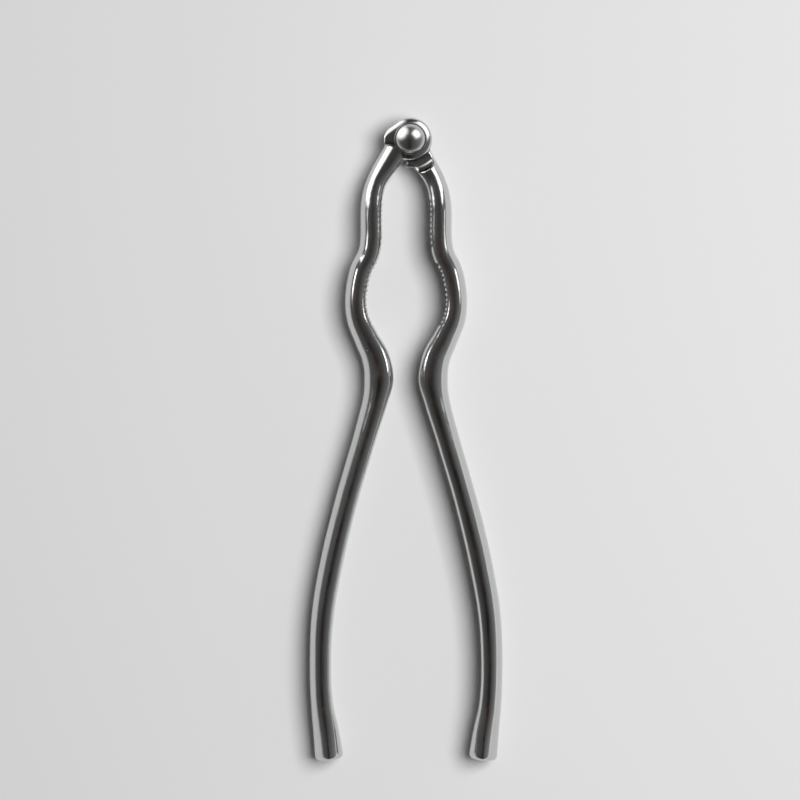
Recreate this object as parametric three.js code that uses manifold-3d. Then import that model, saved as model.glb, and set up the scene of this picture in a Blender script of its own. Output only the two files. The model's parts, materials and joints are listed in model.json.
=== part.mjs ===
// A two-lever nutcracker press: two plated castings that turn on one domed rivet at the head.
// Millimetres, +Z up. The tool lies on its back: Z is the pivot's axis, the levers reach towards -Y,
// and Z = 0 is the plane that the levers and the rivet's tail lie on.
import * as THREE from "three";
import { mergeVertices } from "three/addons/utils/BufferGeometryUtils.js";
import Module from "manifold-3d";

const wasm = await Module();
wasm.setup();
const { degToRad, lerp } = THREE.MathUtils;

// Clearances and cuts.
const runningGap = 0.3;
const seatGap = 0.1;
const cutOverrun = 1;

// The hinge, a stack from back to front: tail, washer, ear, tongue, ear, washer, domed head.
const tongueThickness = 3.4;
const earThickness = 2;
const eyeRadius = 5.9;
const eyeRounding = 1.2;
const shankRadius = 2;
const washerThickness = 0.5;
const washerRadius = 4.4;
const tailHeight = 0.6;
const tailRadius = 3.3;
const tailRounding = 0.3;
const domeRadius = 3.95;
const domeHeight = 2.35;
const domeBrim = 0.35;
const hingeOffset = 1.24;
const scoopWidth = 3.5;
const webReach = 1.8;
const webFromDeg = -10;
const webToDeg = 8;
const webToeRise = 1;
const webToeInset = 1.06;
const cheekWall = 1.1;
const cheekBelow = 1.6;
const cheekTouchDeg = 125;

const tongueHalf = tongueThickness / 2;
const slotHalf = tongueHalf + runningGap;
const headHalf = slotHalf + earThickness;
const shoulderStep = seatGap + washerThickness + seatGap + tailHeight;
const midPlane = headHalf + shoulderStep;
const leverDepth = 2 * midPlane;
const boreRadius = shankRadius + runningGap;
const slotRadius = eyeRadius + runningGap;

// The levers. Drop is how far a place lies below the pivot, and the half gaps are measured from the
// levers' shared midline to the inner face of each.
const pivotToEnd = 170.5;
const endRounding = 1.4;
const endHalfGap = 17.3;
const endThickness = 7.8;
const bowDrop = 145;
const bowHalfGap = 20.6;
const bowThickness = 5.95;
const bowDepth = 9.8;
const waistDrop = 65.7;
const waistHalfGap = 3.4;
const waistThickness = 8.1;
const jawDrop = 44.6;
const jawHalfGap = 10.75;
const jawThickness = 6.1;
const pinchDrop = 27;
const pinchHalfGap = 6.55;
const pinchThickness = 6.1;
const neckDrop = 11;
const neckHalfGap = 5;
const neckThickness = 5.6;
const rootDrop = 0.8;
const rootReach = 1.45;
const rootThickness = 7.1;
const bodyCrestShare = 0.34;
const neckCrestShare = 0.6;
const sideFullness = 2.4;

// The teeth: straight grooves from front to back across the inner faces of both jaws.
const toothPitch = 1.5;
const grooveWidth = 1.15;
const grooveDepth = 0.55;
const fineGrooveDepth = 0.35;
const largeTeethAboveJaw = 12.6;
const largeTeethBelowJaw = 8;
const smallTeethAbovePinch = 11;
const smallTeethBelowPinch = 2;

// How finely round things are cut.
const roundSides = 40;
const ringsPerStretch = 3;
const sideSteps = 8;
const roundingSteps = 3;
const scoopSteps = 6;
const domeSteps = 9;

// The lever's stations, from the root beside the pivot to the grip's end.
const reachOf = (halfGap, thickness) => halfGap + thickness / 2;
const root = {
  drop: rootDrop,
  reach: rootReach,
  thickness: rootThickness,
  depth: 2 * headHalf,
  crestShare: neckCrestShare,
};
const neck = {
  drop: neckDrop,
  reach: reachOf(neckHalfGap, neckThickness),
  thickness: neckThickness,
  depth: 2 * headHalf,
  crestShare: neckCrestShare,
};
const pinch = {
  drop: pinchDrop,
  reach: reachOf(pinchHalfGap, pinchThickness),
  thickness: pinchThickness,
  depth: leverDepth,
  crestShare: bodyCrestShare,
};
const jaw = {
  drop: jawDrop,
  reach: reachOf(jawHalfGap, jawThickness),
  thickness: jawThickness,
  depth: leverDepth,
  crestShare: bodyCrestShare,
};
const waist = {
  drop: waistDrop,
  reach: reachOf(waistHalfGap, waistThickness),
  thickness: waistThickness,
  depth: leverDepth,
  crestShare: bodyCrestShare,
};
const bow = {
  drop: bowDrop,
  reach: reachOf(bowHalfGap, bowThickness),
  thickness: bowThickness,
  depth: bowDepth,
  crestShare: bodyCrestShare,
};
const end = {
  drop: pivotToEnd - endRounding,
  reach: reachOf(endHalfGap, endThickness),
  thickness: endThickness,
  depth: leverDepth,
  crestShare: bodyCrestShare,
};

// Each row lies between two stations: its share of the way down, outwards, and in size.
const neckToPinchShares = [[0.22, 0.66, 0.4], [0.5, 0.97, 0.9]];
const pinchToJawShares = [[0.24, 0.15, 0], [0.5, 0.66, 0.5], [0.74, 0.9, 1]];
const jawToWaistShares = [[0.23, 0.1, 0.1], [0.49, 0.48, 0.4], [0.73, 0.86, 0.8]];
const waistToBowShares = [
  [0.073, 0.06, 0.5], [0.21, 0.25, 0.8], [0.42, 0.55, 0.85], [0.63, 0.8, 0.8], [0.82, 0.96, 0.88],
];
const bowToEndShares = [[0.43, 0.2, 0.12], [0.76, 0.7, 0.72]];

const stretch = (from, to, shares) => shares.map(([downShare, outShare, sizeShare]) => ({
  drop: lerp(from.drop, to.drop, downShare),
  reach: lerp(from.reach, to.reach, outShare),
  thickness: lerp(from.thickness, to.thickness, sizeShare),
  depth: lerp(from.depth, to.depth, sizeShare),
  crestShare: lerp(from.crestShare, to.crestShare, sizeShare),
}));

const stations = [
  root,
  neck,
  ...stretch(neck, pinch, neckToPinchShares),
  pinch,
  ...stretch(pinch, jaw, pinchToJawShares),
  jaw,
  ...stretch(jaw, waist, jawToWaistShares),
  waist,
  ...stretch(waist, bow, waistToBowShares),
  bow,
  ...stretch(bow, end, bowToEndShares),
  end,
];

// A closed mesh becomes a solid that can be joined and cut, and back again.
const toSolid = (geometry) => {
  const bare = geometry.clone();
  bare.deleteAttribute("normal");
  bare.deleteAttribute("uv");
  const merged = mergeVertices(bare);
  return new wasm.Manifold(new wasm.Mesh({
    numProp: 3,
    vertProperties: new Float32Array(merged.attributes.position.array),
    triVerts: new Uint32Array(merged.index.array),
  }));
};

const toGeometry = (solid) => {
  const { vertProperties, triVerts } = solid.getMesh();
  const geometry = new THREE.BufferGeometry();
  geometry.setAttribute("position", new THREE.BufferAttribute(vertProperties, 3));
  geometry.setIndex(new THREE.BufferAttribute(triVerts, 1));
  geometry.computeVertexNormals();
  return geometry;
};

// A round solid about the pivot: the profile holds [radius, height above the middle plane] pairs.
const turned = (profile) => {
  const points = profile.map(([radius, height]) => new THREE.Vector2(radius, height));
  const geometry = new THREE.LatheGeometry(points, roundSides);
  geometry.rotateX(Math.PI / 2);
  geometry.translate(0, 0, midPlane);
  return geometry;
};

const plate = (radius, half) => turned([[0, -half], [radius, -half], [radius, half], [0, half]]);

// The eye's disc, with rounded rims front and back.
const roundedPlate = (radius, half, rounding) => {
  const rim = [];
  for (let step = 0; step <= roundingSteps; step += 1) {
    const turn = (step / roundingSteps) * (Math.PI / 2);
    rim.push([radius - rounding * (1 - Math.cos(turn)), half - rounding * (1 - Math.sin(turn))]);
  }
  const back = rim.map(([r, height]) => [r, -height]).reverse();
  return turned([[0, -half], ...back, ...rim, [0, half]]);
};

// One ring of the lever's section: flat crests front and back, joined by full, rounded sides.
const sectionRing = (centre, across, halfThickness, halfDepth, crestShare) => {
  const ring = [];
  for (const side of [1, -1]) {
    for (let step = 0; step <= sideSteps; step += 1) {
      const turn = side * (Math.PI / 2 - (step / sideSteps) * Math.PI);
      const cos = Math.max(Math.cos(turn), 0) ** (2 / sideFullness);
      const sin = Math.sign(turn) * Math.abs(Math.sin(turn)) ** (2 / sideFullness);
      const out = side * (crestShare + (1 - crestShare) * cos) * halfThickness;
      const point = centre.clone().addScaledVector(across, out);
      point.z = midPlane + sin * halfDepth;
      ring.push(point);
    }
  }
  return ring;
};

// Joins rings of equal length into one closed skin, with a fan of triangles over each end.
const skin = (rings, flipped) => {
  const count = rings[0].length;
  const points = rings.flat();
  const faces = [];
  for (let row = 0; row + 1 < rings.length; row += 1) {
    for (let column = 0; column < count; column += 1) {
      const next = (column + 1) % count;
      const a = row * count + column;
      const b = row * count + next;
      faces.push([a, b + count, b], [a, a + count, b + count]);
    }
  }
  const last = (rings.length - 1) * count;
  for (let column = 1; column + 1 < count; column += 1) {
    faces.push([0, column, column + 1], [last, last + column + 1, last + column]);
  }
  const order = flipped ? faces.map(([a, b, c]) => [a, c, b]) : faces;
  const geometry = new THREE.BufferGeometry().setFromPoints(points);
  geometry.setIndex(order.flat());
  return geometry;
};

// The lever's middle line and its sizes, read at the same share of the way along. The side is -1 for
// the left lever and 1 for the right one.
const curvesOf = (side) => {
  const place = ({ drop, reach }) => new THREE.Vector3(side * reach - hingeOffset, -drop, 0);
  const size = ({ thickness, depth, crestShare }) => new THREE.Vector3(thickness, depth, crestShare);
  return {
    line: new THREE.CatmullRomCurve3(stations.map(place)),
    sizes: new THREE.CatmullRomCurve3(stations.map(size)),
  };
};

// Points across the lever, away from the other lever.
const outwards = (tangent, side) => new THREE.Vector3(-tangent.y, tangent.x, 0).multiplyScalar(side);

const leverBlank = (side) => {
  const { line, sizes } = curvesOf(side);
  const ringCount = (stations.length - 1) * ringsPerStretch;
  const rings = [];
  for (let index = 0; index <= ringCount; index += 1) {
    const share = index / ringCount;
    const size = sizes.getPoint(share);
    const across = outwards(line.getTangent(share), side);
    const halfDepth = Math.min(size.y, leverDepth) / 2;
    rings.push(sectionRing(line.getPoint(share), across, size.x / 2, halfDepth, size.z));
  }
  const tangent = line.getTangent(1);
  const across = outwards(tangent, side);
  for (let step = 1; step <= roundingSteps; step += 1) {
    const turn = (step / roundingSteps) * (Math.PI / 2);
    const centre = line.getPoint(1).addScaledVector(tangent, endRounding * Math.sin(turn));
    const shrink = endRounding * (1 - Math.cos(turn));
    const halfThickness = end.thickness / 2 - shrink;
    rings.push(sectionRing(centre, across, halfThickness, end.depth / 2 - shrink, end.crestShare));
  }
  return toSolid(skin(rings, side < 0));
};

// A groove's cutter: a three-sided bar along Z, its edge sunk into the inner face.
const grooveCutter = (face, inwards, along, depth) => {
  const widen = (depth + cutOverrun) / depth;
  const mouth = face.clone().addScaledVector(inwards, cutOverrun);
  const half = (grooveWidth / 2) * widen;
  const corners = [
    face.clone().addScaledVector(inwards, -depth),
    mouth.clone().addScaledVector(along, half),
    mouth.clone().addScaledVector(along, -half),
  ];
  const outline = new THREE.Shape(corners.map(({ x, y }) => new THREE.Vector2(x, y)));
  const geometry = new THREE.ExtrudeGeometry(outline, {
    depth: leverDepth + 2 * cutOverrun,
    bevelEnabled: false,
  });
  geometry.translate(0, 0, -cutOverrun);
  return toSolid(geometry);
};

const cutTeeth = (blank, side) => {
  const { line, sizes } = curvesOf(side);
  const pitches = Math.round(line.getLength() / toothPitch);
  let cut = blank;
  for (let index = 0; index <= pitches; index += 1) {
    const share = line.getUtoTmapping(index / pitches);
    const centre = line.getPoint(share);
    const drop = -centre.y;
    const inLarge = drop > jawDrop - largeTeethAboveJaw && drop < jawDrop + largeTeethBelowJaw;
    const inSmall = drop > pinchDrop - smallTeethAbovePinch && drop < pinchDrop + smallTeethBelowPinch;
    if (!inLarge && !inSmall) continue;
    const along = line.getTangent(share);
    const inwards = outwards(along, side).negate();
    const face = centre.clone().addScaledVector(inwards, sizes.getPoint(share).x / 2);
    cut = cut.subtract(grooveCutter(face, inwards, along, inLarge ? grooveDepth : fineGrooveDepth));
  }
  return cut;
};

// A flat outline, as thick as the head from front to back.
const slab = (outline) => {
  const geometry = new THREE.ExtrudeGeometry(outline, { depth: 2 * headHalf, bevelEnabled: false });
  geometry.translate(0, 0, midPlane - headHalf);
  return toSolid(geometry);
};

// The cheek: the fork's corner beside the eye. It leaves the eye along a tangent and ends in a step,
// where the neck's rounded flank begins.
const cheek = () => {
  const reach = slotRadius + cheekWall;
  const touch = degToRad(cheekTouchDeg);
  const top = (eyeRadius + reach * Math.cos(touch)) / Math.sin(touch);
  const corners = [
    [0, 0],
    [eyeRadius * Math.cos(touch), eyeRadius * Math.sin(touch)],
    [-reach, top],
    [-reach, -cheekBelow],
    [0, -cheekBelow],
  ];
  return slab(new THREE.Shape(corners.map(([x, y]) => new THREE.Vector2(x, y))));
};

// The fork: both ears, the neck flush with them, the slot for the tongue and the rivet's bore.
const forkLever = () => {
  const eye = toSolid(roundedPlate(eyeRadius, headHalf, eyeRounding));
  const slot = toSolid(plate(slotRadius, slotHalf));
  const bore = toSolid(plate(boreRadius, headHalf + cutOverrun));
  const joined = cutTeeth(leverBlank(-1), -1).add(eye).add(cheek());
  return toGeometry(joined.subtract(slot).subtract(bore));
};

// The scoop is a hollow round the pivot that leaves the tongue and rises in a curve to the neck.
const scoopCutter = (facing) => {
  const rise = midPlane + cutOverrun;
  const profile = [[0, tongueHalf], [slotRadius, tongueHalf]];
  for (let step = 1; step <= scoopSteps; step += 1) {
    const turn = (step / scoopSteps) * (Math.PI / 2);
    const height = tongueHalf + (headHalf - tongueHalf) * (1 - Math.cos(turn));
    profile.push([slotRadius + scoopWidth * Math.sin(turn), height]);
  }
  profile.push([slotRadius + scoopWidth, rise], [0, rise]);
  const facingProfile = profile.map(([radius, height]) => [radius, facing * height]);
  return toSolid(turned(facing > 0 ? facingProfile : facingProfile.reverse()));
};

// The web fills the crotch below the eye, between the tongue and the right lever's neck. Its toe runs
// down the neck's inner side, past the rim of the scoop.
const web = () => {
  const radius = eyeRadius + webReach;
  const from = degToRad(webFromDeg) - Math.PI / 2;
  const to = degToRad(webToDeg) - Math.PI / 2;
  const outline = new THREE.Shape();
  outline.moveTo(0, 0);
  outline.lineTo(radius * Math.cos(from), radius * Math.sin(from));
  outline.absarc(0, 0, radius, from, to);
  outline.lineTo(neckHalfGap - hingeOffset - webToeInset, webToeRise - neckDrop);
  return slab(outline);
};

const tongueLever = () => {
  const eye = toSolid(plate(eyeRadius, tongueHalf));
  const bore = toSolid(plate(boreRadius, headHalf + cutOverrun));
  const joined = cutTeeth(leverBlank(1), 1).add(web()).add(eye);
  return toGeometry(joined.subtract(scoopCutter(1)).subtract(scoopCutter(-1)).subtract(bore));
};

const washer = (facing) => {
  const near = facing * (headHalf + seatGap);
  const far = facing * (headHalf + seatGap + washerThickness);
  const [low, high] = [Math.min(near, far), Math.max(near, far)];
  const profile = [
    [boreRadius, low], [washerRadius, low], [washerRadius, high], [boreRadius, high], [boreRadius, low],
  ];
  return toGeometry(toSolid(turned(profile)));
};

// The rivet: a flat formed tail, the shank, and a head that is a cap of a sphere over a narrow brim.
const pivotRivet = () => {
  const tailTop = tailHeight - midPlane;
  const brimLow = headHalf + 2 * seatGap + washerThickness;
  const brimHigh = brimLow + domeBrim;
  const profile = [
    [0, -midPlane],
    [tailRadius - tailRounding, -midPlane],
    [tailRadius, tailRounding - midPlane],
    [tailRadius, tailTop],
    [shankRadius, tailTop],
    [shankRadius, brimLow],
    [domeRadius, brimLow],
  ];
  const capHeight = domeHeight - domeBrim;
  const capRadius = (domeRadius ** 2 + capHeight ** 2) / (2 * capHeight);
  const capTurn = Math.asin(domeRadius / capRadius);
  for (let step = domeSteps; step >= 0; step -= 1) {
    const turn = (step / domeSteps) * capTurn;
    profile.push([capRadius * Math.sin(turn), brimHigh + capRadius * (Math.cos(turn) - Math.cos(capTurn))]);
  }
  return toGeometry(toSolid(turned(profile)));
};

const plated = () => new THREE.MeshStandardMaterial({ color: 0xc4c6c8, roughness: 0.12, metalness: 1 });
const steel = () => new THREE.MeshStandardMaterial({ color: 0xb9babb, roughness: 0.2, metalness: 1 });

const piece = (name, geometry, material) => {
  const mesh = new THREE.Mesh(geometry, material);
  mesh.name = name;
  return mesh;
};

const nutcracker = new THREE.Group();
nutcracker.add(
  piece("fork_lever", forkLever(), plated()),
  piece("tongue_lever", tongueLever(), plated()),
  piece("pivot_rivet", pivotRivet(), steel()),
  piece("front_washer", washer(1), steel()),
  piece("rear_washer", washer(-1), steel()),
);

export default nutcracker;
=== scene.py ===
import json
import math

import bmesh
import bpy
from mathutils import Matrix, Vector
from mathutils.kdtree import KDTree


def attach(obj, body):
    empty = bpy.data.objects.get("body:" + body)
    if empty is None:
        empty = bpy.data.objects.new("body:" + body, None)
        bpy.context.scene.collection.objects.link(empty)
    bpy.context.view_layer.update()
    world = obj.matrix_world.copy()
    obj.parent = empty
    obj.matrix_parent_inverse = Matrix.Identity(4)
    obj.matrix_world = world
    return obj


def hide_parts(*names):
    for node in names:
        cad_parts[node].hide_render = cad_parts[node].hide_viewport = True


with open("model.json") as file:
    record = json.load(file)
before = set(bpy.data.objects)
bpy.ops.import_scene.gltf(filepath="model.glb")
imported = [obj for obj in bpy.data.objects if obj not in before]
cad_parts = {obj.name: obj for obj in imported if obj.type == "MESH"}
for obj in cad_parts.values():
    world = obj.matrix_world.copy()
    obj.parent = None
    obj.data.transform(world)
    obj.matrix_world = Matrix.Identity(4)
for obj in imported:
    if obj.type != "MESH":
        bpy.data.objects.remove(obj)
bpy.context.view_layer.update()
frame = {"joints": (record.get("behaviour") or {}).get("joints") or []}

# Fork lever, the left half: one zinc die casting, buffed and chrome plated. A bowed grip runs up to a
# narrow waist, two toothed jaws and a flat neck, which ends in a fork of two ears round the hinge.
# Sizes are in millimetres, with the hinge's axis at X = Y = 0, and each finished mesh is set in metres.
MM = 0.001
HINGE_HEIGHT = frame["joints"][0]["pos_m"][2] / MM
HINGE_OFFSET = 1.24
LEVER_DEPTH = 2 * HINGE_HEIGHT
HEAD_HALF = 4.0
BORE_RADIUS = 2.3
SLOT_RADIUS = 6.2
SLOT_HALF = 2.0
EYE_RADIUS = 5.9
EYE_RIM_WIDTH = 2.2
EYE_RIM_DROP = 1.3
EYE_RIM_STEPS = 10

# The cheek is the fork's corner, which leaves the eye on a tangent. Three flat faces cut it off, each
# given by the way that it looks and how far it stands from the hinge.
CHEEK_TOUCH = math.radians(125)
CHEEK_LENGTH = 2 * EYE_RADIUS
CHEEK_WALL = 1.1
CHEEK_FACES = (
    (math.radians(180), SLOT_RADIUS + CHEEK_WALL),
    (math.radians(-90), 1.6),
    (math.radians(152), 6.85),
)

# Each station of a lever: how far below the hinge, half gap to the other lever, thickness, depth and
# the fullness of the inner side and of the palm's side, where 2 is an ellipse and more is squarer. The
# middle of the gap lies to the left of the hinge's axis, by HINGE_OFFSET.
ROOT = (1.0, -2.1, 7.1, 2 * HEAD_HALF, 3.6, 2.2)
NECK = (11, 5, 5.6, 2 * HEAD_HALF, 3.6, 2.05)
PINCH = (27, 6.55, 6.1, LEVER_DEPTH, 3.8, 2.05)
JAW = (44.6, 10.75, 6.1, LEVER_DEPTH, 3.8, 2.05)
WAIST = (65.7, 3.4, 8.1, LEVER_DEPTH, 3.4, 2.05)
BOW = (145, 20.6, 5.95, 9.8, 3.8, 1.8)
END = (169.1, 17.3, 7.8, LEVER_DEPTH, 1.95, 1.5)

# Between two stations, each row is a share of the way down, outwards and in size.
NECK_TO_PINCH = ((0.22, 0.66, 0.4), (0.5, 0.97, 0.9))
PINCH_TO_JAW = ((0.24, 0.15, 0), (0.5, 0.66, 0.5), (0.74, 0.9, 1))
JAW_TO_WAIST = ((0.23, 0.1, 0.1), (0.49, 0.48, 0.4), (0.73, 0.86, 0.8))
WAIST_TO_BOW = (
    (0.073, 0.06, 0.5),
    (0.21, 0.25, 0.8),
    (0.42, 0.55, 0.85),
    (0.63, 0.8, 0.8),
    (0.82, 0.96, 0.88),
)
BOW_TO_END = ((0.43, 0.2, 0.12), (0.76, 0.7, 0.72))

SECTION_SIDES = 64
RING_SPACING = 0.3
END_ROUNDING = 1.4
END_RINGS = 6

# The teeth lie between grooves of a V section, over two stretches below the hinge.
TOOTH_PITCH = 1.5
GROOVE_WIDTH = 1.15
GROOVE_DEPTH = 0.7
FINE_GROOVE_DEPTH = 0.45
LARGE_TEETH = (32, 52.6)
SMALL_TEETH = (16, 29)


def station_values(station):
    """The middle line's reach and drop, and the thickness, depth and both fullnesses, as two vectors."""
    drop, half_gap, thickness, depth, inner, palm = station
    return Vector((half_gap + thickness / 2, -drop, 0)), Vector((thickness, depth, inner, palm))


def stretch(start, finish, shares):
    """The stations on the way from one to another."""
    (line_a, size_a), (line_b, size_b) = station_values(start), station_values(finish)
    for down, out, size in shares:
        point = Vector((line_a.x + (line_b.x - line_a.x) * out, line_a.y + (line_b.y - line_a.y) * down, 0))
        yield point, size_a.lerp(size_b, size)


stations = [
    station_values(ROOT),
    station_values(NECK),
    *stretch(NECK, PINCH, NECK_TO_PINCH),
    station_values(PINCH),
    *stretch(PINCH, JAW, PINCH_TO_JAW),
    station_values(JAW),
    *stretch(JAW, WAIST, JAW_TO_WAIST),
    station_values(WAIST),
    *stretch(WAIST, BOW, WAIST_TO_BOW),
    station_values(BOW),
    *stretch(BOW, END, BOW_TO_END),
    station_values(END),
]


def smooth_line(points, share):
    """The place at a share of the way along a smooth line through the points."""
    place = share * (len(points) - 1)
    step = min(int(place), len(points) - 2)
    rest = place - step
    b, c = points[step], points[step + 1]
    a = points[step - 1] if step > 0 else 2 * b - c
    d = points[step + 2] if step + 2 < len(points) else 2 * c - b
    near, middle, far = (math.sqrt((q - p).length) or 1 for p, q in ((a, b), (b, c), (c, d)))
    leave = ((b - a) / near - (c - a) / (near + middle) + (c - b) / middle) * middle
    arrive = ((c - b) / middle - (d - b) / (middle + far) + (d - c) / far) * middle
    bend = 3 * (c - b) - 2 * leave - arrive
    turn = 2 * (b - c) + leave + arrive
    return b + leave * rest + bend * rest**2 + turn * rest**3


def groove_cut(travel, drop, pitch, slope):
    """How deep a tooth groove has cut the inner face at this point of the middle line."""
    offset = (travel / pitch + 0.5) % 1 * pitch - pitch / 2
    centre = drop - offset * slope
    if LARGE_TEETH[0] < centre < LARGE_TEETH[1]:
        depth = GROOVE_DEPTH
    elif SMALL_TEETH[0] < centre < SMALL_TEETH[1]:
        depth = FINE_GROOVE_DEPTH
    else:
        return 0
    return depth * max(0, 1 - 2 * abs(offset) / GROOVE_WIDTH)


def lever_rings(side):
    """Centre, outward direction, half sizes, fullness and groove depth of each ring, from the root on."""
    line = [Vector((side * point.x - HINGE_OFFSET, point.y, 0)) for point, size in stations]
    sizes = [size for point, size in stations]
    shares = []
    for step, (here, there) in enumerate(zip(line, line[1:])):
        count = math.ceil((there - here).length / RING_SPACING)
        shares += [(step + part / count) / (len(line) - 1) for part in range(count)]
    shares.append(1)
    places = [smooth_line(line, share) for share in shares]
    travels = [0]
    for here, there in zip(places, places[1:]):
        travels.append(travels[-1] + (there - here).length)
    pitch = travels[-1] / round(travels[-1] / TOOTH_PITCH)
    rings = []
    for index, (share, place, travel) in enumerate(zip(shares, places, travels)):
        ahead, behind = places[min(index + 1, len(places) - 1)], places[max(index - 1, 0)]
        along = (ahead - behind).normalized()
        out = Vector((-along.y, along.x, 0)) * side
        thickness, depth, *fullness = smooth_line(sizes, share)
        cut = groove_cut(travel, -place.y, pitch, -along.y)
        rings.append((place, out, thickness / 2, min(depth, LEVER_DEPTH) / 2, fullness, cut))
    place, out, half, half_depth, fullness, cut = rings[-1]
    for step in range(1, END_RINGS + 1):
        angle = step / END_RINGS * math.pi / 2
        shrink = END_ROUNDING * (1 - math.cos(angle))
        centre = place + along * END_ROUNDING * math.sin(angle)
        rings.append((centre, out, half - shrink, half_depth - shrink, fullness, 0))
    return rings


WELD_DISTANCE = 0.0005


def finish_mesh(bm, name):
    """Makes a bmesh an object of that name, with its points welded and its faces pointing out."""
    bmesh.ops.remove_doubles(bm, verts=bm.verts, dist=WELD_DISTANCE)
    bmesh.ops.recalc_face_normals(bm, faces=bm.faces)
    mesh = bpy.data.meshes.new(name)
    bm.to_mesh(mesh)
    bm.free()
    piece = bpy.data.objects.new(name, mesh)
    bpy.context.scene.collection.objects.link(piece)
    return piece


def of_kind(geom, kind):
    """The vertices or edges among what an operator gives back."""
    return [part for part in geom if isinstance(part, kind)]


def lever_blank(rings, name):
    """The lever's bar: one outline, extruded from ring to ring and shaped at each."""
    bm = bmesh.new()
    turn = bm.verts.layers.float.new("turn")
    verts = bmesh.ops.create_circle(bm, cap_ends=True, radius=1, segments=SECTION_SIDES)["verts"]
    for vert in verts:
        vert[turn] = math.atan2(vert.co.y, vert.co.x)
    edges = bm.edges[:]
    for number, (centre, out, half, half_depth, (inner, palm), cut) in enumerate(rings):
        if number:
            grown = bmesh.ops.extrude_edge_only(bm, edges=edges)["geom"]
            verts = of_kind(grown, bmesh.types.BMVert)
            fresh = set(verts)
            edges = [edge for edge in of_kind(grown, bmesh.types.BMEdge) if fresh.issuperset(edge.verts)]
        for vert in verts:
            across, up = math.cos(vert[turn]), math.sin(vert[turn])
            power = 2 / (palm if across > 0 else inner)
            outwards = math.copysign(abs(across) ** power, across) * half
            height = math.copysign(abs(up) ** power, up) * half_depth
            vert.co = centre + out * outwards + Vector((0, 0, HINGE_HEIGHT + height))
    bmesh.ops.contextual_create(bm, geom=edges)
    return finish_mesh(bm, name)


ROUND_SIDES = 72


def turned(profile, name, sides=ROUND_SIDES):
    """A round solid about the hinge's axis, spun from pairs of radius and height above the hinge's middle."""
    bm = bmesh.new()
    verts = [bm.verts.new((radius, 0, HINGE_HEIGHT + height)) for radius, height in profile]
    edges = [bm.edges.new(pair) for pair in zip(verts, verts[1:])]
    bmesh.ops.spin(
        bm, geom=verts + edges, cent=(0, 0, 0), axis=(0, 0, 1), angle=2 * math.pi, steps=sides, use_merge=True
    )
    return finish_mesh(bm, name)


def disc(radius, half, name):
    return turned([(0, -half), (radius, -half), (radius, half), (0, half)], name)


def eye_section():
    """Half the eye's section, from the middle of its front face over the rounded rims to the back."""
    front = [(0, HEAD_HALF)]
    for step in range(EYE_RIM_STEPS + 1):
        angle = step / EYE_RIM_STEPS * math.pi / 2
        reach = EYE_RADIUS - EYE_RIM_WIDTH * (1 - math.sin(angle))
        front.append((reach, HEAD_HALF - EYE_RIM_DROP * (1 - math.cos(angle))))
    return front + [(reach, -height) for reach, height in reversed(front)]


def cheek(name):
    """The fork's corner: the eye's section drawn out along a tangent, down to the step above the neck."""
    across = Vector((math.cos(CHEEK_TOUCH), math.sin(CHEEK_TOUCH), 0))
    along = Vector((-across.y, across.x, 0))
    bm = bmesh.new()
    for reach, height in eye_section():
        bm.verts.new(across * reach + Vector((0, 0, HINGE_HEIGHT + height)))
    bmesh.ops.contextual_create(bm, geom=bm.verts[:])
    drawn = bmesh.ops.extrude_face_region(bm, geom=bm.faces[:])["geom"]
    bmesh.ops.translate(bm, vec=along * CHEEK_LENGTH, verts=of_kind(drawn, bmesh.types.BMVert))
    for azimuth, reach in CHEEK_FACES:
        way = Vector((math.cos(azimuth), math.sin(azimuth), 0))
        geom = bm.verts[:] + bm.edges[:] + bm.faces[:]
        cut = bmesh.ops.bisect_plane(
            bm, geom=geom, plane_co=way * reach, plane_no=way, clear_outer=True
        )["geom_cut"]
        bmesh.ops.contextual_create(bm, geom=of_kind(cut, bmesh.types.BMEdge))
    return finish_mesh(bm, name)


def apply_modifiers(piece):
    graph = bpy.context.evaluated_depsgraph_get()
    mesh = bpy.data.meshes.new_from_object(piece.evaluated_get(graph))
    piece.modifiers.clear()
    old = piece.data
    piece.data = mesh
    bpy.data.meshes.remove(old)


def combine(piece, other, operation):
    """Joins the other solid to the piece, or cuts it away."""
    modifier = piece.modifiers.new(operation.lower(), "BOOLEAN")
    modifier.operation = operation
    modifier.solver = "EXACT"
    modifier.object = other
    apply_modifiers(piece)
    bpy.data.objects.remove(other)


def beside_rings(bm, rings):
    """Each vertex, its nearest ring's outward direction and groove depth, and how far it lies behind the
    ring's inner face."""
    tree = KDTree(len(rings))
    for number, ring in enumerate(rings):
        tree.insert(ring[0], number)
    tree.balance()
    for vert in bm.verts:
        flat = Vector((vert.co.x, vert.co.y, 0))
        centre, out, half, half_depth, fullness, cut = rings[tree.find(flat)[1]]
        yield vert, out, cut, (flat - centre).dot(out) + half


def cut_teeth(bm, rings):
    """Pushes the jaw's inner skin back to the floor of its tooth grooves."""
    for vert, out, cut, behind in beside_rings(bm, rings):
        if cut and behind < cut and SMALL_TEETH[0] <= -vert.co.y <= LARGE_TEETH[1]:
            vert.co += out * (cut - behind)


# A groove is wholly out of the buffing wheel's reach once it is cut this deep, and that fades out this far
# behind the inner face. Inside the hinge, the faces of the slot are out of its reach too, with this margin
# round them. There the plating is rougher, and its colour is darkened: partly the as-cast metal, partly
# painted shade in the grooves and between the hinge's parts.
UNBUFFED_AND_SHADED_CUT = GROOVE_DEPTH / 2
UNBUFFED_AND_SHADED_REACH = 1.5
SLOT_MARGIN = 0.1


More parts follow.
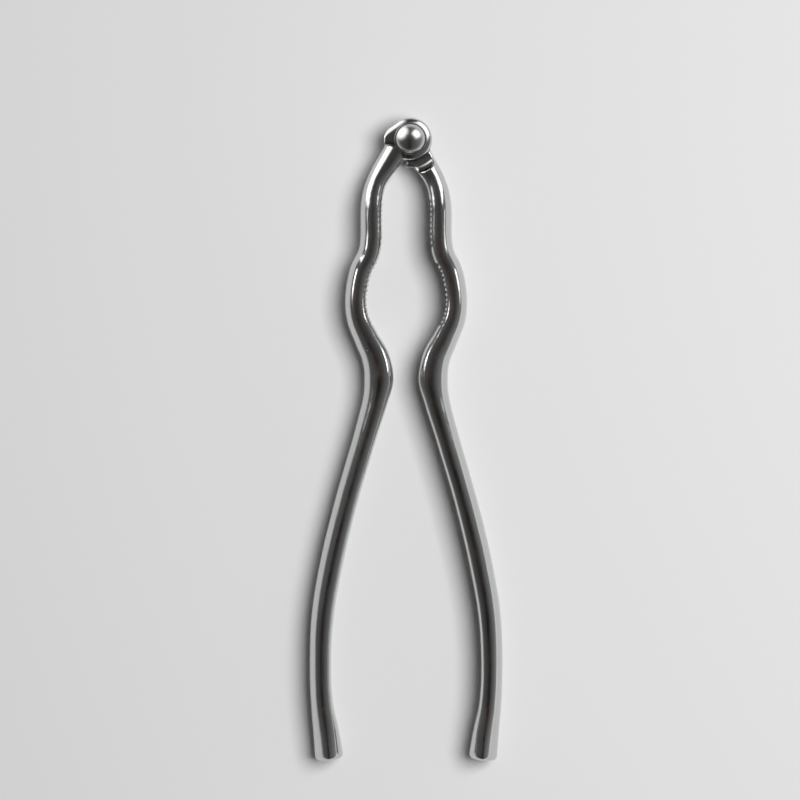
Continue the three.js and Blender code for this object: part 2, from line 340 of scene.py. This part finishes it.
def mark_unbuffed_and_shaded(bm, rings):
    """Marks where the buffing wheel can't reach: the tooth grooves, and the faces inside the hinge. The same
    mark also darkens their colour, partly as painted shade.
    """
    unbuffed_and_shaded = bm.verts.layers.float.new("unbuffed_and_shaded")
    for vert, out, cut, behind in beside_rings(bm, rings):
        if cut:
            vert[unbuffed_and_shaded] = max(0, min(1, UNBUFFED_AND_SHADED_REACH - behind)) * min(1, cut / UNBUFFED_AND_SHADED_CUT)
        if vert.co.xy.length < SLOT_RADIUS and abs(vert.co.z - HINGE_HEIGHT) < SLOT_HALF + SLOT_MARGIN:
            vert[unbuffed_and_shaded] = 1


class Finish:
    """A metal finish that is built up node by node on the piece's own coordinates."""

    def __init__(self, name):
        self.material = bpy.data.materials.new(name)
        self.material.use_nodes = True
        self.nodes = self.material.node_tree.nodes
        self.links = self.material.node_tree.links
        self.shader = self.nodes["Principled BSDF"]
        self.shader.inputs["Metallic"].default_value = 1
        self.place = self.nodes.new("ShaderNodeTexCoord").outputs["Object"]

    def add(self, kind, inputs, **settings):
        """A node with its sockets set from values or from other nodes' outputs."""
        node = self.nodes.new(kind)
        for key, value in settings.items():
            setattr(node, key, value)
        for key, value in inputs.items():
            if isinstance(value, bpy.types.NodeSocket):
                self.links.new(value, node.inputs[key])
            else:
                node.inputs[key].default_value = value
        return node

    def noise(self, scale, detail, stretch=(1, 1, 1)):
        place = self.add("ShaderNodeMapping", {"Vector": self.place, "Scale": stretch}).outputs["Vector"]
        inputs = {"Vector": place, "Scale": scale, "Detail": detail}
        return self.add("ShaderNodeTexNoise", inputs).outputs["Fac"]

    def spread(self, value, span, onto):
        """The value with one span of it laid onto another, and held at its ends."""
        inputs = {"Value": value}
        inputs["From Min"], inputs["From Max"] = span
        inputs["To Min"], inputs["To Max"] = onto
        return self.add("ShaderNodeMapRange", inputs).outputs["Result"]

    def plus(self, a, b):
        return self.add("ShaderNodeMath", {0: a, 1: b}, operation="ADD").outputs["Value"]

    def times(self, a, b):
        return self.add("ShaderNodeMath", {0: a, 1: b}, operation="MULTIPLY").outputs["Value"]

    def mix(self, share, a, b):
        inputs = {"Factor": share, "A": a, "B": b}
        return self.add("ShaderNodeMix", inputs, data_type="RGBA").outputs["Result"]

    def bump(self, height, distance, normal=None):
        inputs = {"Height": height, "Distance": distance, "Strength": 1}
        if normal:
            inputs["Normal"] = normal
        return self.add("ShaderNodeBump", inputs).outputs["Normal"]


# The plating's patterns are sized in cells to the metre, and its ripple and pinholes in metres.
CLOUD_CELLS = 95
CLOUD_SPAN = (0.35, 0.65)
WIPING_SPAN = (0.3, 0.7)
WIPING_ROUGHNESS = (-0.03, 0.04)
WIPING_FINENESS = 30
WAVE_CELLS = 150
PEEL_CELLS = 1400
PEEL_FINENESS = 25
PINHOLE_CELLS = 420
PINHOLE_LOT = (0.9, 0.91)
PINHOLE_EDGE = (0.03, 0.1)
PINHOLE_ROUGHNESS = 0.3
PINHOLE_DEPTH = 0.00004
# A dark tint for the grooves and the hinge's inner faces, partly as-cast metal and partly painted shade.
AS_CAST_AND_SHADE_TINT = (0.22, 0.215, 0.21, 1)


def chrome(name, tints, grain, roughness, ripple, dull=None):
    """Nickel and chrome plating: clouded reflections, fine wiping lines and pinholes over a faint ripple."""
    finish = Finish(name)
    cloud = finish.noise(CLOUD_CELLS, detail=3)
    wiping = finish.noise(1, detail=3, stretch=grain)
    cells = finish.add("ShaderNodeTexVoronoi", {"Vector": finish.place, "Scale": PINHOLE_CELLS})
    lot = finish.add("ShaderNodeSeparateColor", {"Color": cells.outputs["Color"]}).outputs["Red"]
    rare = finish.spread(lot, PINHOLE_LOT, (0, 1))
    hole = finish.times(finish.spread(cells.outputs["Distance"], PINHOLE_EDGE, (1, 0)), rare)
    tint = finish.mix(cloud, *tints)
    wiped = finish.spread(wiping, WIPING_SPAN, WIPING_ROUGHNESS)
    worn = finish.plus(finish.spread(cloud, CLOUD_SPAN, roughness), wiped)
    # Out of the wheel's reach the plating is rougher and darker, and the darkening is partly painted shade.
    if dull:
        unbuffed_and_shaded = finish.add("ShaderNodeAttribute", {}, attribute_name="unbuffed_and_shaded").outputs["Fac"]
        worn = finish.plus(worn, finish.times(unbuffed_and_shaded, dull))
        tint = finish.mix(unbuffed_and_shaded, tint, AS_CAST_AND_SHADE_TINT)
    pitted = finish.plus(worn, finish.times(hole, PINHOLE_ROUGHNESS))
    finish.links.new(tint, finish.shader.inputs["Base Color"])
    finish.links.new(pitted, finish.shader.inputs["Roughness"])
    waves = finish.bump(finish.noise(WAVE_CELLS, detail=1), ripple)
    peel = finish.bump(finish.noise(PEEL_CELLS, detail=2), ripple / PEEL_FINENESS, waves)
    lines = finish.bump(wiping, ripple / WIPING_FINENESS, peel)
    finish.links.new(finish.bump(hole, -PINHOLE_DEPTH, lines), finish.shader.inputs["Normal"])
    return finish.material


CHROME_CLEAN = (0.65, 0.655, 0.66, 1)
CHROME_CLOUDED = (0.59, 0.59, 0.585, 1)
plated_casting = chrome(
    "plated_casting",
    tints=(CHROME_CLEAN, CHROME_CLOUDED),
    grain=(2600, 110, 2600),
    roughness=(0.09, 0.19),
    ripple=0.00012,
    dull=0.25,
)

POLISH_VOXEL = 0.27
POLISH_ROUNDS = 5
POLISH_SHARE = 0.5


def polish(lever, rings):
    """Rounds the casting's corners, as buffing does, cuts its teeth, sets it in metres and plates it."""
    skin = lever.modifiers.new("skin", "REMESH")
    skin.mode = "VOXEL"
    skin.voxel_size = POLISH_VOXEL
    apply_modifiers(lever)
    bm = bmesh.new()
    bm.from_mesh(lever.data)
    for step in range(POLISH_ROUNDS):
        bmesh.ops.smooth_vert(
            bm, verts=bm.verts, factor=POLISH_SHARE, use_axis_x=True, use_axis_y=True, use_axis_z=True
        )
    cut_teeth(bm, rings)
    mark_unbuffed_and_shaded(bm, rings)
    for face in bm.faces:
        face.smooth = True
    bmesh.ops.scale(bm, vec=(MM, MM, MM), verts=bm.verts)
    bm.to_mesh(lever.data)
    bm.free()
    lever.data.materials.clear()
    lever.data.materials.append(plated_casting)


fork_rings = lever_rings(-1)
fork_lever = lever_blank(fork_rings, "fork_lever_casting")
combine(fork_lever, turned(eye_section(), "eye"), "UNION")
combine(fork_lever, cheek("cheek"), "UNION")
combine(fork_lever, disc(SLOT_RADIUS, SLOT_HALF, "slot"), "DIFFERENCE")
combine(fork_lever, disc(BORE_RADIUS, LEVER_DEPTH, "bore"), "DIFFERENCE")
polish(fork_lever, fork_rings)
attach(fork_lever, "fork_side")
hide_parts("fork_lever")

# Tongue lever, the right half: the same casting mirrored, but one tongue in place of the fork. It turns
# between the ears, and a scoop beside it front and back gives the ears room. A small web fills the crotch
# below the eye, and its toe runs down the inner side of the neck.
TONGUE_HALF = 1.7
SCOOP_WIDTH = 3.5
SCOOP_STEPS = 14
WEB_RADIUS = 7.7
WEB_FROM = math.radians(-10)
WEB_TO = math.radians(8)
WEB_STEPS = 10
WEB_TOE_BESIDE = 1.06
WEB_TOE_ABOVE = 1
WEB_TOE = (NECK[1] - HINGE_OFFSET - WEB_TOE_BESIDE, WEB_TOE_ABOVE - NECK[0])


def scoop(facing, name):
    """The cutter for one scoop: flat over the tongue, then curving up to a steep wall at the neck."""
    profile = [(0, TONGUE_HALF)]
    for step in range(SCOOP_STEPS + 1):
        angle = step / SCOOP_STEPS * math.pi / 2
        rise = (HEAD_HALF - TONGUE_HALF) * (1 - math.cos(angle))
        profile.append((SLOT_RADIUS + SCOOP_WIDTH * math.sin(angle), TONGUE_HALF + rise))
    profile += [(SLOT_RADIUS + SCOOP_WIDTH, LEVER_DEPTH), (0, LEVER_DEPTH)]
    return turned([(radius, facing * height) for radius, height in profile], name)


def web(name):
    """The plate below the eye: a slice of a round one, with its far corner drawn down to the toe."""
    bm = bmesh.new()
    back = HINGE_HEIGHT - HEAD_HALF
    start = -math.pi / 2 + WEB_FROM
    hub = bm.verts.new((0, 0, back))
    rim = bm.verts.new((WEB_RADIUS * math.cos(start), WEB_RADIUS * math.sin(start), back))
    slice_edge = [hub, rim, bm.edges.new((hub, rim))]
    sweep = WEB_TO - WEB_FROM
    last = bmesh.ops.spin(
        bm, geom=slice_edge, cent=hub.co, axis=(0, 0, 1), angle=sweep, steps=WEB_STEPS, use_merge=False
    )["geom_last"]
    toe = bm.verts.new((*WEB_TOE, back))
    bmesh.ops.contextual_create(bm, geom=[*of_kind(last, bmesh.types.BMVert), toe])
    bmesh.ops.remove_doubles(bm, verts=bm.verts, dist=WELD_DISTANCE)
    raised = bmesh.ops.extrude_face_region(bm, geom=bm.faces[:])["geom"]
    bmesh.ops.translate(bm, vec=(0, 0, 2 * HEAD_HALF), verts=of_kind(raised, bmesh.types.BMVert))
    return finish_mesh(bm, name)


tongue_rings = lever_rings(1)
tongue_lever = lever_blank(tongue_rings, "tongue_lever_casting")
combine(tongue_lever, web("web"), "UNION")
combine(tongue_lever, disc(EYE_RADIUS, TONGUE_HALF, "tongue"), "UNION")
combine(tongue_lever, scoop(1, "front_scoop"), "DIFFERENCE")
combine(tongue_lever, scoop(-1, "rear_scoop"), "DIFFERENCE")
combine(tongue_lever, disc(BORE_RADIUS, LEVER_DEPTH, "bore"), "DIFFERENCE")
polish(tongue_lever, tongue_rings)
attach(tongue_lever, "tongue_side")
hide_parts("tongue_lever")

# Rivet: one piece of plated steel, with a domed head in front, a shank through both bores and a tail that
# was pressed flat at the back. It clenches the fork's ears, with a washer under its head and its tail.
SEAT_GAP = 0.1
WASHER_THICKNESS = 0.5
BRIM_LOW = HEAD_HALF + SEAT_GAP + WASHER_THICKNESS + SEAT_GAP
BRIM_THICKNESS = 0.35
DOME_RADIUS = 3.95
DOME_HEIGHT = 2.35
DOME_STEPS = 24
SHANK_RADIUS = 2
TAIL_RADIUS = 3.3
TAIL_THICKNESS = 0.6
TAIL_TOP = TAIL_THICKNESS - HINGE_HEIGHT
PLATED_SIDES = 96
EDGE_ROUNDING = 0.12
EDGE_STEPS = 4
SHARP_TURN = math.radians(20)

STEEL_CLEAN = (0.61, 0.61, 0.605, 1)
STEEL_CLOUDED = (0.53, 0.53, 0.525, 1)
plated_steel = chrome(
    "plated_steel",
    tints=(STEEL_CLEAN, STEEL_CLOUDED),
    grain=(1500, 1500, 1500),
    roughness=(0.2, 0.26),
    ripple=0.00002,
)


def softened(corners):
    """The profile with each sharp corner turned through a small arc. A guard point before and after it, a
    third of the rounding away, keeps the flat beside it flat."""
    points = [Vector(corners[0])]
    for before, corner, after in zip(corners, corners[1:], corners[2:]):
        corner = Vector(corner)
        into, onward = (corner - Vector(before)).normalized(), (Vector(after) - corner).normalized()
        if into.angle(onward) < SHARP_TURN:
            points.append(corner)
            continue
        start, end = corner - into * EDGE_ROUNDING, corner + onward * EDGE_ROUNDING
        points.append(start - into * EDGE_ROUNDING / 3)
        for step in range(EDGE_STEPS + 1):
            share = step / EDGE_STEPS
            points.append(start.lerp(corner, share).lerp(corner.lerp(end, share), share))
        points.append(end + onward * EDGE_ROUNDING / 3)
    points.append(Vector(corners[-1]))
    return points


def plated_piece(corners, name):
    """A turned steel piece from its profile's corners, softened, set in metres and plated."""
    piece = turned(softened(corners), name + "_plated", PLATED_SIDES)
    for face in piece.data.polygons:
        face.use_smooth = True
    piece.data.transform(Matrix.Scale(MM, 4))
    piece.data.materials.append(plated_steel)
    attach(piece, "fork_side")
    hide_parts(name)


cap_height = DOME_HEIGHT - BRIM_THICKNESS
cap_radius = (DOME_RADIUS**2 + cap_height**2) / (2 * cap_height)
cap_angle = math.asin(DOME_RADIUS / cap_radius)
dome = []
for step in range(DOME_STEPS, -1, -1):
    angle = step / DOME_STEPS * cap_angle
    rise = cap_radius * (math.cos(angle) - math.cos(cap_angle))
    dome.append((cap_radius * math.sin(angle), BRIM_LOW + BRIM_THICKNESS + rise))
rivet_corners = [
    (0, -HINGE_HEIGHT),
    (TAIL_RADIUS, -HINGE_HEIGHT),
    (TAIL_RADIUS, TAIL_TOP),
    (SHANK_RADIUS, TAIL_TOP),
    (SHANK_RADIUS, BRIM_LOW),
    (DOME_RADIUS, BRIM_LOW),
    *dome,
]
plated_piece(rivet_corners, "pivot_rivet")

# Washers: two thin rings, stamped from steel and plated. One lies under the rivet's head and one under
# its tail, and they spread the clench over the fork's cast ears.
WASHER_RADIUS = 4.4
WASHER_MIDDLE = (BORE_RADIUS + WASHER_RADIUS) / 2
for facing, name in ((1, "front_washer"), (-1, "rear_washer")):
    near = facing * (HEAD_HALF + SEAT_GAP)
    far = facing * (HEAD_HALF + SEAT_GAP + WASHER_THICKNESS)
    washer_corners = [
        (WASHER_MIDDLE, near),
        (WASHER_RADIUS, near),
        (WASHER_RADIUS, far),
        (BORE_RADIUS, far),
        (BORE_RADIUS, near),
        (WASHER_MIDDLE, near),
    ]
    plated_piece(washer_corners, name)

# Floor: a plain, pale and matt sheet that the tool lies on. It is there for the picture alone, a little
# below the tool's back, and takes the tool's shadow.
FLOOR_HALF = 3.0
FLOOR_BELOW = 0.0002
FLOOR_LOOK = {"Base Color": (0.8, 0.8, 0.8, 1), "Roughness": 0.9, "Specular IOR Level": 0.1}
bm = bmesh.new()
bmesh.ops.create_grid(bm, x_segments=1, y_segments=1, size=FLOOR_HALF)
bmesh.ops.translate(bm, vec=(0, 0, -FLOOR_BELOW), verts=bm.verts)
mesh = bpy.data.meshes.new("floor")
bm.to_mesh(mesh)
bm.free()
floor = bpy.data.objects.new("floor", mesh)
bpy.context.scene.collection.objects.link(floor)
sheet = bpy.data.materials.new("matt_sheet")
sheet.use_nodes = True
for socket, value in FLOOR_LOOK.items():
    sheet.node_tree.nodes["Principled BSDF"].inputs[socket].default_value = value
floor.data.materials.append(sheet)

# Studio: a dim room that pales at the horizon, with dark and brown streaks overhead. One large soft box
# lights the floor and the tool plainly, and small soft panels near the tool show only in its plating.
# Each stop of a sky is a place from left to right and a colour.
SKY_OVER_GRIPS = (
    (0.0, (0.1, 0.1, 0.1)),
    (0.25, (0.07, 0.068, 0.066)),
    (0.36, (0.052, 0.046, 0.042)),
    (0.44, (0.02, 0.018, 0.017)),
    (0.49, (0.02, 0.019, 0.019)),
    (0.54, (0.055, 0.054, 0.053)),
    (0.64, (0.1, 0.1, 0.1)),
    (0.78, (0.14, 0.14, 0.138)),
    (1.0, (0.24, 0.24, 0.24)),
)
SKY_OVER_JAWS = (
    (0.0, (0.1, 0.1, 0.1)),
    (0.22, (0.1, 0.1, 0.1)),
    (0.34, (0.12, 0.092, 0.082)),
    (0.44, (0.12, 0.072, 0.057)),
    (0.51, (0.06, 0.048, 0.043)),
    (0.56, (0.085, 0.084, 0.08)),
    (0.66, (0.12, 0.12, 0.118)),
    (0.8, (0.15, 0.15, 0.148)),
    (1.0, (0.24, 0.24, 0.24)),
)
SKY_OVER_HEAD = (
    (0.0, (0.12, 0.12, 0.12)),
    (0.25, (0.1, 0.1, 0.1)),
    (0.4, (0.08, 0.079, 0.077)),
    (0.47, (0.055, 0.055, 0.053)),
    (0.52, (0.055, 0.055, 0.053)),
    (0.6, (0.085, 0.085, 0.083)),
    (0.72, (0.13, 0.13, 0.13)),
    (0.85, (0.17, 0.17, 0.17)),
    (1.0, (0.24, 0.24, 0.24)),
)
SKY_AT_HORIZON = (
    (0.0, (0.3, 0.3, 0.3)),
    (0.35, (0.45, 0.45, 0.45)),
    (0.65, (0.8, 0.8, 0.8)),
    (1.0, (0.9, 0.9, 0.9)),
)

# How much of the horizon's sky there is by height, and where one sky overhead turns into the next.
HORIZON_SHARE = (
    (0.0, (1, 1, 1)),
    (0.07, (0.85, 0.85, 0.85)),
    (0.24, (0, 0, 0)),
)
GRIPS_TO_JAWS = (-0.025, 0.03)
JAWS_TO_HEAD = (0.04, 0.056)

world = bpy.data.worlds.new("studio")
bpy.context.scene.world = world
world.use_nodes = True
nodes, links = world.node_tree.nodes, world.node_tree.links
direction = nodes.new("ShaderNodeTexCoord")
split = nodes.new("ShaderNodeSeparateXYZ")
links.new(direction.outputs["Generated"], split.inputs["Vector"])
left_to_right = nodes.new("ShaderNodeMapRange")
left_to_right.inputs["From Min"].default_value = -1
links.new(split.outputs["X"], left_to_right.inputs["Value"])


def ramp(stops, value=left_to_right.outputs["Result"]):
    """The colour that the value has reached on its way from stop to stop."""
    node = nodes.new("ShaderNodeValToRGB")
    node.color_ramp.interpolation = "EASE"
    while len(node.color_ramp.elements) < len(stops):
        node.color_ramp.elements.new(0.5)
    for element, (place, color) in zip(node.color_ramp.elements, stops):
        element.position = place
        element.color = (*color, 1)
    links.new(value, node.inputs["Fac"])
    return node.outputs["Color"]


def mixed(share, before, after):
    node = nodes.new("ShaderNodeMix")
    node.data_type = "RGBA"
    links.new(share, node.inputs["Factor"])
    links.new(before, node.inputs["A"])
    links.new(after, node.inputs["B"])
    return node.outputs["Result"]


def sky_change(before, after, span):
    """One sky that turns into the other between two places along the tool."""
    along = nodes.new("ShaderNodeMapRange")
    along.inputs["From Min"].default_value, along.inputs["From Max"].default_value = span
    links.new(split.outputs["Y"], along.inputs["Value"])
    return mixed(along.outputs["Result"], before, after)


sky = sky_change(ramp(SKY_OVER_GRIPS), ramp(SKY_OVER_JAWS), GRIPS_TO_JAWS)
sky = sky_change(sky, ramp(SKY_OVER_HEAD), JAWS_TO_HEAD)
sky = mixed(ramp(HORIZON_SHARE, split.outputs["Z"]), sky, ramp(SKY_AT_HORIZON))
links.new(sky, nodes["Background"].inputs["Color"])

# Places on the tool, in metres, that the lamps and the camera face.
MIDDLE = Vector((-0.0029, -0.0716, HINGE_HEIGHT * MM))
HEAD = Vector((-0.001, -0.004, 0.009))
LEFT_WAIST = Vector((-0.006, -0.06, 0.007))
RIGHT_WAIST = Vector((0.004, -0.06, 0.007))
WAIST_PANEL = {"zenith": 60, "distance": 0.11, "size": 0.04, "radiance": 5, "spread": 30}
ALL_ROUND = 180


def lamp(name, target, azimuth, zenith, distance, size, radiance, spread=ALL_ROUND):
    """A square lamp that faces its target from an azimuth and a zenith angle, both in degrees. Its radiance
    stays as given, whatever its size and the spread of its beam."""
    light = bpy.data.lights.new(name, "AREA")
    light.shape = "SQUARE"
    light.size = size
    light.energy = radiance * size**2 * math.pi
    if spread < ALL_ROUND:
        half = math.radians(spread) / 2
        light.spread = 2 * half
        light.energy *= 1 - half / math.tan(half)
    holder = bpy.data.objects.new(name, light)
    azimuth, zenith = math.radians(azimuth), math.radians(zenith)
    slant = math.sin(zenith)
    way = Vector((slant * math.cos(azimuth), slant * math.sin(azimuth), math.cos(zenith)))
    holder.location = target + way * distance
    holder.rotation_euler = way.to_track_quat("Z", "Y").to_euler()
    holder.visible_camera = False
    bpy.context.scene.collection.objects.link(holder)
    return holder


soft_box = lamp("soft_box", MIDDLE, azimuth=15, zenith=24, distance=1.2, size=0.7, radiance=9.0)
soft_box.visible_glossy = False
panels = (
    lamp("left_panel", HEAD, azimuth=143, zenith=72, distance=0.05, size=0.075, radiance=3.2, spread=86),
    lamp("right_panel", HEAD, azimuth=42, zenith=52, distance=0.06, size=0.052, radiance=3.0, spread=78),
    lamp("left_waist_panel", RIGHT_WAIST, azimuth=162, **WAIST_PANEL),
    lamp("right_waist_panel", LEFT_WAIST, azimuth=18, **WAIST_PANEL),
)
for panel in panels:
    panel.visible_diffuse = False

# Camera: straight above the tool, as in the photograph, with 220 mm of the floor across the frame at the
# height of the levers' middle.
CAMERA_DISTANCE = 1.2
FRAME_WIDTH = 0.22
lens = bpy.data.cameras.new("camera")
lens.lens = lens.sensor_width * CAMERA_DISTANCE / FRAME_WIDTH
camera = bpy.data.objects.new("camera", lens)
camera.location = MIDDLE + Vector((0, 0, CAMERA_DISTANCE))
bpy.context.scene.collection.objects.link(camera)
bpy.context.scene.camera = camera
bpy.context.scene.view_settings.view_transform = "Standard"
